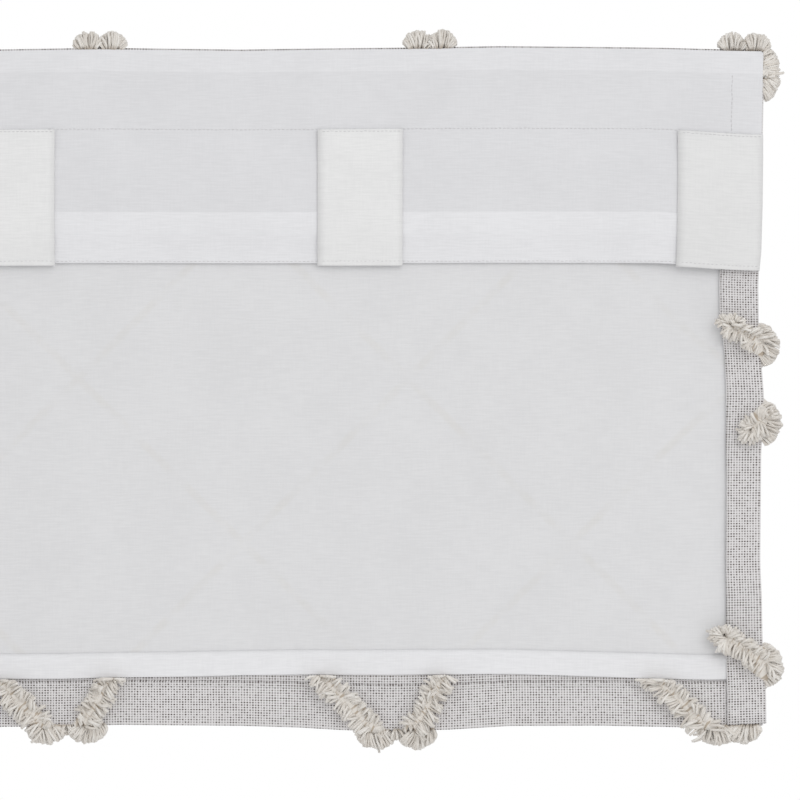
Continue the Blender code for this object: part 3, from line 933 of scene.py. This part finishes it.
def skewed(u, v):
    """The hand-laid lattice leans: its top corners sit to one side, its bottom ones to the other."""
    inward = WIDTH / 2 - np.abs(u)
    near_top = smooth(row_z(1), row_z(0), v)
    near_foot = smooth(row_z(2), row_z(LATTICE_ROWS), v)
    at_top = SKEW_AT_SIDE + (1.0 - SKEW_AT_SIDE) * smooth(0.0, TOP_SKEW_ROOM, inward)
    at_foot = smooth(0.0, FOOT_SKEW_ROOM, inward)
    moved = u - LATTICE_TOP_SKEW * at_top * near_top + LATTICE_FOOT_SKEW * near_foot * at_foot
    stray = sum(shift * np.exp(-((v - height) / reach) ** 2) for height, reach, shift in SIDE_SHIFTS)
    return moved, v - LATTICE_TOP_DROP * near_top + stray * smooth(STRAY_ROOM, 0.0, inward)


def over_front(face, u, v, height):
    """Points this high over the front of the face. Past its top edge they stand straight up."""
    above = np.maximum(v - face.high, 0.0)
    points = face.place(u, v - above, -CLEARANCE - height)
    points[..., 2] += above
    return points


def surface_frame(face, u, v):
    """A point on the face's outer side, and the ways across, along and out from there."""
    step = 0.0004
    middle = over_front(face, u, v, 0.0 * u)
    across = over_front(face, u + step, v, 0.0 * u) - over_front(face, u - step, v, 0.0 * u)
    along = over_front(face, u, v + step, 0.0 * u) - over_front(face, u, v - step, 0.0 * u)
    across /= np.linalg.norm(across, axis=-1, keepdims=True) + 1e-12
    along /= np.linalg.norm(along, axis=-1, keepdims=True) + 1e-12
    return middle, across, along, np.cross(across, along)


def tube_mesh(paths, radius, sides):
    """Points and faces for a set of tubes."""
    count, rings, _ = paths.shape
    ahead = np.gradient(paths, axis=1)
    ahead /= np.linalg.norm(ahead, axis=2, keepdims=True) + 1e-12
    guide = np.eye(3)[np.argmin(np.abs(ahead).max(axis=1), axis=1)][:, None]
    first = np.cross(ahead, guide)
    first /= np.linalg.norm(first, axis=2, keepdims=True)
    second = np.cross(ahead, first)
    angles = np.arange(sides) * 2 * math.pi / sides
    circle = (first[:, :, None] * np.cos(angles)[:, None]
              + second[:, :, None] * np.sin(angles)[:, None])
    points = paths[:, :, None] + circle * radius[:, :, None, None]
    return points.reshape(-1, 3), ring_faces(count, rings, sides)


def ring_faces(count, rings, sides):
    """Faces that join rings of points into closed tubes."""
    index = np.arange(count * rings * sides).reshape(count, rings, sides)
    after = np.roll(index, -1, axis=2)
    walls = np.stack([index[:, :-1], after[:, :-1], after[:, 1:], index[:, 1:]], axis=-1)
    return list(walls.reshape(-1, 4)) + list(index[:, -1]) + list(index[:, 0, ::-1])


class Bundle:
    """Tubes and cores gathered into one mesh, with a tint and a share of length at each point."""

    def __init__(self):
        self.points, self.faces, self.flat, self.tints, self.shares = [], [], [], [], []
        self.total = 0

    def add(self, points, faces, flat, tint, share):
        """Take in one set of closed shapes."""
        self.points.append(points)
        self.faces += [face + self.total for face in faces]
        self.flat.append(flat)
        self.tints.append(tint)
        self.shares.append(share)
        self.total += len(points)

    def add_tubes(self, paths, radius, sides, tint):
        """Take in a set of tubes."""
        count, rings, _ = paths.shape
        points, faces = tube_mesh(paths, radius, sides)
        share = np.tile(np.repeat(np.linspace(0, 1, rings), sides), count)
        self.add(points, faces, np.zeros((len(points), 2)), np.repeat(tint, rings * sides), share)

    def build(self, name, material):
        """Make the mesh object."""
        piece = add_mesh(name, np.concatenate(self.points), self.faces, material,
                         np.concatenate(self.flat))
        for label, values in (("tint", self.tints), ("along", self.shares)):
            attribute = piece.data.attributes.new(label, "FLOAT", "POINT")
            attribute.data.foreach_set("value", np.concatenate(values).astype(np.float32))
        return piece


class Arm:
    """One straight run of tufting down from a lattice corner, on the flat face cloth."""

    def __init__(self, vertex, top, way, start, stop, edge=WIDTH, slope_past=1.0):
        self.vertex, self.top, self.way = vertex, top, way
        self.start, self.stop = start, stop
        self.first, self.last = start, stop
        self.edge, self.slope_past = edge, slope_past
        self.steep, self.steep_from = 0.0, 0.0

    def clip(self, left, right):
        """Keep only the part between two places along the width."""
        for limit, outward in ((left, -1), (right, 1)):
            reach = (limit - self.vertex) * self.way
            if self.way == outward:
                self.stop = min(self.stop, reach)
            else:
                self.start = max(self.start, reach)

    def places(self, down):
        """Places on the cloth this far down the run. Past a side or a fold its slope changes."""
        u = self.vertex + self.way * (down - self.steep * np.maximum(down - self.steep_from, 0.0))
        past = np.maximum(np.abs(u) - self.edge, 0.0)
        outward = np.sign(u) * self.way
        return u, self.top - down + past * outward * (1.0 - self.slope_past)

    def widest(self):
        """How far from the middle of the width the run reaches."""
        return max(abs(self.vertex + self.way * down) for down in (self.start, self.stop))

    def samples(self, spacing):
        """Even steps down the run."""
        count = max(2, int((self.stop - self.start) * math.sqrt(2.0) / spacing))
        return np.linspace(self.start, self.stop, count)


def fan_paths(face, centre, ahead, turn, curl, fullness, length, root):
    """Yarns from points of a stitched line. Turn is each one's bearing from the line ahead.

    Fullness is 0 for a yarn that stands up in thin pile, and 1 for one that leans out in full pile.
    """
    share = np.linspace(0.0, 1.0, YARN_RINGS)[None, :]
    bend = np.radians(np.interp(fullness, (0.0, 1.0), YARN_BEND))
    first = np.radians(np.interp(fullness, (0.0, 1.0), YARN_LEAN))
    angle = first[:, None] - bend[:, None] * share
    outward = (np.sin(first[:, None]) - np.sin(angle)) / bend[:, None] * length[:, None]
    height = (np.cos(angle) - np.cos(first[:, None])) / bend[:, None] * length[:, None]
    aside = np.stack([-ahead[:, 1], ahead[:, 0]], axis=-1)
    turned = turn[:, None] + curl[:, None] * share
    way = (ahead[:, None] * np.cos(turned)[..., None] + aside[:, None] * np.sin(turned)[..., None])
    out = root[:, None] + outward
    middle, across, along, normal = surface_frame(face, *skewed(*centre))
    paths = (middle[:, None] + across[:, None] * (way[..., 0] * out)[..., None]
             + along[:, None] * (way[..., 1] * out)[..., None]
             + normal[:, None] * (ROOT_HEIGHT + height)[..., None])
    paths[..., 2] -= YARN_DROOP * share ** 2
    return paths


def lumps(count, step, random):
    """Slow random swelling along a run."""
    knots = np.arange(0, count + step, step)
    return np.interp(np.arange(count), knots, random.normal(0.0, 1.0, len(knots)))


def yarns_beside(down, random):
    """The yarns to both sides of a run: places, bearings, swelling, and how far their roots spread."""
    sets = []
    for side in (-1.0, 1.0):
        swell = lumps(len(down), 7, random)
        turn = side * np.radians(80.0 + 15.0 * lumps(len(down), 5, random))
        sets.append((down, turn, swell, SIDE_ROOT_SPREAD))
    return sets


def yarns_at_end(place, facing, count, random):
    """The yarns round an open end of a run, as yarns_beside gives them."""
    inward = random.uniform(0.0, 1.0, count)
    turn = facing + random.choice((-1.0, 1.0), count) * (
        1.30 * inward + random.uniform(-0.3, 0.3, count))
    return place - math.cos(facing) * END_LENGTH * inward, turn, np.zeros(count), ROOT_SPREAD


def add_yarns(bundle, face, arm, ahead, yarns, random, keep_below, in_front):
    """Cut yarns along a run. They may be kept below the lining's edge, or in front of the band."""
    at, turn, swell, spread_out = yarns
    count = len(at)
    centre = arm.places(at + random.normal(0.0, YARN_JITTER, count))
    fullness = random.uniform(0.0, 1.0, count) ** 0.8
    length = YARN_LENGTH * (0.84 + 0.30 * fullness) * (1.0 + 0.07 * swell)
    length = length * random.uniform(0.95, 1.05, count) * (1.0 - SPREAD_SHORTENS * spread_out)
    root = random.uniform(0.0, spread_out, count)
    curl = YARN_CURL * (random.uniform(-1.2, 1.2, count) + 0.8 * lumps(count, 4, random))
    paths = fan_paths(face, centre, np.tile(ahead, (count, 1)), turn, curl, fullness, length, root)
    if in_front:
        paths[..., 1] = np.minimum(paths[..., 1], FRONT_Y + FRONT_YARN_REACH)
    if keep_below is not None:
        level = keep_below + lining_rise(paths[..., 0])
        paths[..., 2] -= YARN_PRESSED * np.maximum(paths[..., 2] - level, 0.0)
    radius = YARN_RADIUS * random.uniform(0.88, 1.15, count)[:, None] * YARN_TAPER
    bundle.add_tubes(settle(paths), radius, YARN_SIDES, random.uniform(0.0, 1.0, count))


def add_arm(bundle, face, arm, open_ends, random, keep_below=None, in_front=False):
    """The core of one run of tufting, its yarns to both sides, and those round its open ends."""
    if arm.stop - arm.start < SHORTEST_ARM:
        return
    ahead = np.array([arm.way, -1.0]) / math.sqrt(2.0)
    sets = yarns_beside(arm.samples(FRONT_YARN_SPACING if in_front else YARN_SPACING), random)
    at_end = YARNS_AT_END // 2 if in_front else YARNS_AT_END
    for is_open, place, facing in zip(open_ends, (arm.start, arm.stop), (math.pi, 0.0)):
        if is_open:
            sets.append(yarns_at_end(place, facing, at_end, random))
    for yarns in sets:
        add_yarns(bundle, face, arm, ahead, yarns, random, keep_below, in_front)
    add_core(bundle, face, arm, ahead, random, keep_below)


def add_core(bundle, face, arm, ahead, random, keep_below):
    """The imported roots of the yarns: a low rounded ridge."""
    down = arm.samples(CORE_STEP)
    u, v = arm.places(down)
    ends = np.minimum(down - arm.start, arm.stop - down) / CORE_END
    full = np.sqrt(np.clip(ends + 0.25, 0.0, 1.0)) * (1.0 + 0.05 * lumps(len(down), 4, random))
    angles = np.linspace(0.0, math.pi, CORE_SIDES)
    across = CORE_WIDTH / 2 * np.cos(angles)[None, :] * full[:, None]
    height = CORE_HEIGHT * np.sin(angles)[None, :] ** 0.7 * full[:, None]
    flat_u = u[:, None] - ahead[1] * across
    flat_v = v[:, None] + ahead[0] * across
    points = over_front(face, *skewed(flat_u, flat_v), height)
    if keep_below is not None:
        points[..., 2] = np.minimum(points[..., 2], keep_below + lining_rise(points[..., 0]))
    points = settle(points)
    faces = ring_faces(1, len(down), CORE_SIDES)
    run = np.repeat(down * math.sqrt(2.0), CORE_SIDES)
    flat = np.stack([run, np.tile(angles * CORE_WIDTH / 2, len(down))], axis=-1)
    count = len(down) * CORE_SIDES
    bundle.add(points.reshape(-1, 3), faces, flat, np.full(count, 0.5), np.full(count, 0.35))


def add_lobe(bundle, centre, outward, size, lean, random, behind=False):
    """A rounded lobe of yarns off an edge, whose tips lie on one curve. It may keep to the front."""
    half, reach, count = size
    outward = np.array(outward)
    edge = np.array([outward[2], 0.0, -outward[0]])
    place = random.uniform(-1.0, 1.0, count)
    stagger = 0.05 * lumps(count, 5, random)[np.argsort(np.argsort(place))]
    tip_out = reach * np.cos(LOBE_ARC * place) ** 0.75
    tip_out = tip_out * (random.uniform(0.92, 1.02, count) + stagger)
    tip_aside = 1.15 * half * np.sin(LOBE_FAN * place) + lean * reach
    root_aside = (0.66 * place + random.uniform(-0.14, 0.14, count)) * half
    depth = random.uniform(-1.0, 1.0, count)
    share = np.linspace(0.0, 1.0, YARN_RINGS)[None, :]
    bow = (random.uniform(-0.13, 0.13, count) * reach)[:, None] * np.sin(math.pi * share)
    out = (tip_out[:, None] + LOBE_ROOT) * share - LOBE_ROOT
    aside = root_aside[:, None] + (tip_aside - root_aside)[:, None] * share + bow
    aim = -0.30 - 0.25 * depth if behind else 0.32 * depth
    paths = centre + out[..., None] * outward + aside[..., None] * edge
    paths[..., 1] = (FRONT_Y + LOBE_FROM_FRONT + LOBE_DEPTH * depth[:, None]
                     + aim[:, None] * out)
    paths[..., 2] -= LOBE_DROOP * share ** 2
    radius = LOBE_YARN_RADIUS * random.uniform(0.88, 1.12, count)[:, None] * LOBE_TAPER
    bundle.add_tubes(settle(paths), radius, YARN_SIDES, random.uniform(0.0, 1.0, count))


def add_top_lobes(bundle, vertex, random):
    """The two lobes that show over the top edge at a lattice corner."""
    if abs(vertex) > WIDTH / 2:
        return
    middle = float(skewed(np.array(vertex), np.array(row_z(0)))[0])
    for way in (-1.0, 1.0):
        beside = TOP_LOBE_SHIFT + way * TOP_LOBE_APART * TOP_LOBE[0]
        centre = np.array([middle + beside, 0.0, TOP_Z])
        add_lobe(bundle, centre, (0.0, 0.0, 1.0), TOP_LOBE, way * TOP_LOBE_LEAN, random)


def add_side_lobe(bundle, row, arm, random):
    """The lobe where a run of tufting passes a side edge."""
    for side in (-1.0, 1.0):
        down = (side * WIDTH / 2 - arm.vertex) * arm.way
        if arm.first < down < arm.last:
            height = float(skewed(np.array(side * WIDTH / 2), np.array(arm.top - down))[1])
            height += CORNER_LIFT if row == 0 else 0.0
            centre = np.array([side * (WIDTH / 2 - SIDE_LOBE_INSET), 0.0, height])
            size = CORNER_LOBE if row == 0 else SIDE_LOBE
            add_lobe(bundle, centre, (side, 0.0, 0.0), size, side * SIDE_LOBE_LEAN, random,
                     behind=row == 0)


def off_band(face, arm, down):
    """A place down a run, brought back to the side fold where it would lie behind the band."""
    u, v = arm.places(down)
    if v <= TAB_BOTTOM_Z - CLEAR_BELOW_TABS or face.left < u < face.right:
        return down
    edge = face.left if u < face.left else face.right
    return max(arm.start, min((edge - arm.vertex) * arm.way, arm.stop))


def lattice_arm(face, row, vertex, way):
    """One run of a row, which ends past the side folds where a side cuts it."""
    past, slope_past = SIDE_TUFTS[row]
    start = 0.0 if row else -TOP_OVERSHOOT
    arm = Arm(vertex, row_z(row), way, start, LATTICE_PERIOD / 2, face.right, slope_past)
    arm.clip(face.left - past, face.right + past)
    if row and arm.start < arm.stop:
        arm.start = off_band(face, arm, arm.start)
        arm.stop = off_band(face, arm, arm.stop)
    return arm


def make_tuft_rows(face, material):
    """The four zigzag rows of tufting."""
    rows = []
    for row in range(LATTICE_ROWS):
        random = np.random.default_rng(ROW_SEED + row)
        bundle = Bundle()
        for index in range(-1, math.ceil(WIDTH / LATTICE_PERIOD) + 1):
            vertex = first_vertex_x(row) + index * LATTICE_PERIOD
            for way in (-1, 1):
                arm = lattice_arm(face, row, vertex, way)
                if row:
                    open_ends = (arm.start > arm.first, arm.stop < arm.last)
                else:
                    open_ends = (arm.start == arm.first, False)
                in_front = row == 0 or arm.widest() <= face.right
                add_arm(bundle, face, arm, open_ends, random, in_front=in_front)
                add_side_lobe(bundle, row, arm, random)
            if row == 0:
                add_top_lobes(bundle, vertex, random)
        rows.append(bundle.build(f"yarn_row_{row + 1}", material))
    return rows


def hem_arm(face, vertex, way):
    """The run from a bottom corner of the lattice round the fold and up the turned hem."""
    hidden = vertex + way * LATTICE_FROM_BOTTOM < -WIDTH / 2 + FACE_SIDE_HEM / 2
    fold = face.end_fold
    past = fold.bend / 2 if hidden else fold.flat_length(FACE_BOTTOM_HEM) + HEM_ARM_PAST
    arm = Arm(vertex, LATTICE_BOTTOM_Z, way, 0.0, LATTICE_BOTTOM_Z - face.low + past)
    if way < 0:
        arm.steep, arm.steep_from = HEM_ARM_STEEP, arm.stop - past
    if hidden:
        arm.clip(face.left + HIDDEN_ARM_INSET, face.right)
    else:
        arm.clip(-WIDTH / 2, WIDTH / 2 - FACE_SIDE_HEM - HEM_ARM_INSET)
    return arm


def hem_lobe_x(vertex, way):
    """Where a hem arm's lobe hangs. Those of the corner at the side lie closer together."""
    at_side = abs(vertex) > WIDTH / 2 - 2 * LATTICE_FROM_SIDE
    beside = LATTICE_FROM_BOTTOM + HEM_LOBE_BESIDE - (CORNER_LOBE_INWARD if at_side else 0.0)
    return vertex + LATTICE_FOOT_SKEW - HEM_LOBE_SHIFT + way * beside


def make_hem_tufts(face, material):
    """The arms of tufting below the bottom corners of the lattice, and how many there are."""
    random = np.random.default_rng(HEM_SEED)
    bundle = Bundle()
    down = (0.0, 0.0, -1.0)
    count = 0
    vertex = first_vertex_x(0)
    while vertex < WIDTH / 2 - FACE_SIDE_HEM - FACE_BOTTOM_HEM:
        for way in (-1, 1):
            count += 1
            add_arm(bundle, face, hem_arm(face, vertex, way), (False, False), random,
                    LINING_BOTTOM_Z - YARN_BELOW_LINING)
            centre = np.array([hem_lobe_x(vertex, way), 0.0, BOTTOM_Z])
            add_lobe(bundle, centre, down, HEM_LOBE, way * HEM_LOBE_LEAN, random)
        middle = np.array([vertex + LATTICE_FOOT_SKEW, 0.0, BOTTOM_Z])
        add_lobe(bundle, middle, down, FRINGE, 0.0, random)
        vertex += LATTICE_PERIOD
    return bundle.build("yarn_arms_at_hem", material), count


def stitch_row(cloth, ends, random):
    """Paths of short stitches in a line on the outer side of a cloth."""
    (u0, v0), (u1, v1) = ends
    run = math.hypot(u1 - u0, v1 - v0)
    count = int(run / STITCH_PITCH)
    middle = (np.arange(count) + 0.5) * STITCH_PITCH
    share = np.linspace(-0.5, 0.5, 4)[None, :]
    along = middle[:, None] + share * STITCH_LENGTH
    wobble = random.normal(0.0, STITCH_WOBBLE, count)[:, None]
    du, dv = (u1 - u0) / run, (v1 - v0) / run
    u = u0 + du * along - dv * wobble
    v = v0 + dv * along + du * wobble
    sink = STITCH_SINK * np.array([1.0, 0.0, 0.0, 1.0])[None, :]
    return settle(cloth.place(u, v, sink - STITCH_LIFT))


def make_stitching(face, lining, band, tabs, material):
    """The rows of machine stitches: on the band, the lining, the tabs and the bottom hem."""
    random = np.random.default_rng(STITCH_SEED)
    side = band.right + band.side_fold.axis - BAND_SIDE_HEM + SIDE_ROW_OVER_HEM
    band_end = WIDTH / 2 - BAND_ROW_FROM_SIDE
    hem_end = WIDTH / 2 - HEM_ROW_FROM_SIDE
    lining_end = lining.right - LINING_ROW_FROM_SIDE

    def stitched(name, rows):
        bundle = Bundle()
        for cloth, ends in rows:
            paths = stitch_row(cloth, ends, random)
            radius = np.full(paths.shape[:2], THREAD_RADIUS)
            bundle.add_tubes(paths, radius, THREAD_SIDES, random.uniform(0, 1, len(paths)))
        return bundle.build(name, material)

    band_rows = [(band, ((-band_end, z), (band_end, z))) for z in (HEADER_STITCH_Z, LOWER_STITCH_Z)]
    band_rows += [(band, ((x, BAND_BOTTOM_Z + SIDE_ROW_FROM_FOOT),
                          (x, HEADER_STITCH_Z + SIDE_ROW_ABOVE_HEADER))) for x in (-side, side)]
    z = LINING_BOTTOM_Z + LINING_HEM - LINING_ROW_BELOW_HEM_EDGE
    lining_rows = [(lining, ((-lining_end, z), (lining_end, z)))]
    turned = face.low - face.end_fold.flat_length(FACE_BOTTOM_HEM - HEM_ROW_BELOW_HEM_EDGE)
    face_rows = [(face, ((-hem_end, turned), (hem_end, turned)))]
    tab_rows = [(tab, ((tab.left + TAB_ROW_FROM_SIDE, z), (tab.right - TAB_ROW_FROM_SIDE, z)))
                for tab in tabs for z in (HEADER_STITCH_Z - TAB_ROW_FROM_TOP,
                                          TAB_BOTTOM_Z + TAB_ROW_FROM_FOOT)]
    return [stitched("band_stitching", band_rows), stitched("lining_stitching", lining_rows),
            stitched("tab_stitching", tab_rows), stitched("hem_stitching", face_rows)]


def add_area_light(name, place, target, power):
    """A soft square lamp."""
    data = bpy.data.lights.new(name, "AREA")
    data.shape = "SQUARE"
    data.size = LAMP_SIZE
    data.energy = power
    lamp = bpy.data.objects.new(name, data)
    lamp.location = place
    way = np.array(target) - np.array(place)
    flat = math.hypot(way[0], way[1])
    lamp.rotation_euler = (math.atan2(flat, -way[2]), 0.0, math.atan2(-way[0], way[1]))
    bpy.context.scene.collection.objects.link(lamp)


AMBIENT = 0.825
KEY_POWER = 16.0
FRONT_POWER = 14.0
LAMP_SIZE = 1.6
FLOOR_Z = -1.15
FLOOR_RADIUS = 2.6
FLOOR_COLOUR = (0.92, 0.92, 0.92, 1.0)
FLOOR_GLOW = 0.25
WHITE = (1.0, 1.0, 1.0, 1.0)


def seen_directly(w):
    """1 where the camera, a reflection or a clear material looks at the surroundings."""
    path = w.tree.nodes.new("ShaderNodeLightPath").outputs
    seen = w.math("MAXIMUM", path["Is Camera Ray"], path["Is Glossy Ray"])
    return w.math("MAXIMUM", seen, path["Is Transmission Ray"])


def set_world():
    """Even light all round. What the camera sees past the valance is white."""
    world = bpy.data.worlds.new("white_studio")
    bpy.context.scene.world = world
    world.use_nodes = True
    w = Wiring(world.node_tree)
    shader = world.node_tree.nodes["Background"]
    shader.inputs["Color"].default_value = WHITE
    w.feed(shader.inputs["Strength"], w.ramp(seen_directly(w), 0.0, 1.0, AMBIENT, 1.0))


def add_floor():
    """A white floor well below the hanging valance."""
    bpy.ops.mesh.primitive_circle_add(vertices=96, radius=FLOOR_RADIUS, fill_type="NGON",
                                      location=(0.0, 0.0, FLOOR_Z))
    floor = bpy.context.active_object
    floor.name = "studio_floor"
    material, w, shader = new_material("white_floor", 0.9)
    shader.inputs["Base Color"].default_value = FLOOR_COLOUR
    shader.inputs["Emission Color"].default_value = WHITE
    glow = w.math("MULTIPLY", seen_directly(w), FLOOR_GLOW)
    w.feed(shader.inputs["Emission Strength"], glow)
    floor.data.materials.append(material)


def set_stage():
    """The world's light, two soft lamps and the floor."""
    set_world()
    add_area_light("back_lamp", (-1.6, 2.4, 1.3), (-0.3, 0.0, -0.1), KEY_POWER)
    add_area_light("front_lamp", (1.3, -2.6, 1.2), (0.0, 0.0, -0.1), FRONT_POWER)
    add_floor()
    bpy.context.scene.view_settings.view_transform = "Standard"


def dress(nodes):
    """Hide these solids of the imported model."""
    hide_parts(*nodes)


def make_cloth_materials():
    """The finishes of the face, the lining, the band and the tabs."""
    cotton = plain_cotton_group()
    weave = make_face_material()
    lining = make_cotton_material("white_lining_cotton", cotton, LINING_WHITE, LINING_DOUBLE,
                                  lattice_group())
    band = make_cotton_material("white_band_cotton", cotton, BAND_WHITE, BAND_DOUBLE)
    tab = make_cotton_material("white_tab_cotton", cotton, TAB_WHITE, TAB_BRIGHT)
    return weave, lining, band, tab


def build_valance():
    """Every visible piece of the valance."""
    weave, lining_cotton, band_cotton, tab_cotton = make_cloth_materials()
    yarn = make_yarn_material()
    thread = make_thread_material()

    face, face_piece = make_face_panel(weave)
    lining, lining_piece = make_lining(lining_cotton)
    band, band_piece = make_band(band_cotton)
    tabs, tab_pieces = zip(*[make_tab(index, tab_cotton) for index in range(TAB_COUNT)])
    rows = make_tuft_rows(face, yarn)
    arms, arm_count = make_hem_tufts(face, yarn)
    band_thread, lining_thread, _, hem_thread = make_stitching(face, lining, band, tabs, thread)

    dress(["face_panel"])
    dress(["lining_panel"])
    dress(["pocket_band"])
    for index, piece in enumerate(tab_pieces):
        dress([f"back_tab_{index + 1}"])
    for index, piece in enumerate(rows):
        dress([f"tuft_row_{index + 1}"])
    dress([f"hem_tuft_{index + 1}" for index in range(arm_count)])

    size, area = face.flat_size()
    size, area = lining.flat_size()
    size, area = band.flat_size()
    for tab, piece in zip(tabs, tab_pieces):
        size, area = tab.flat_size()


make_camera()
build_valance()
set_stage()
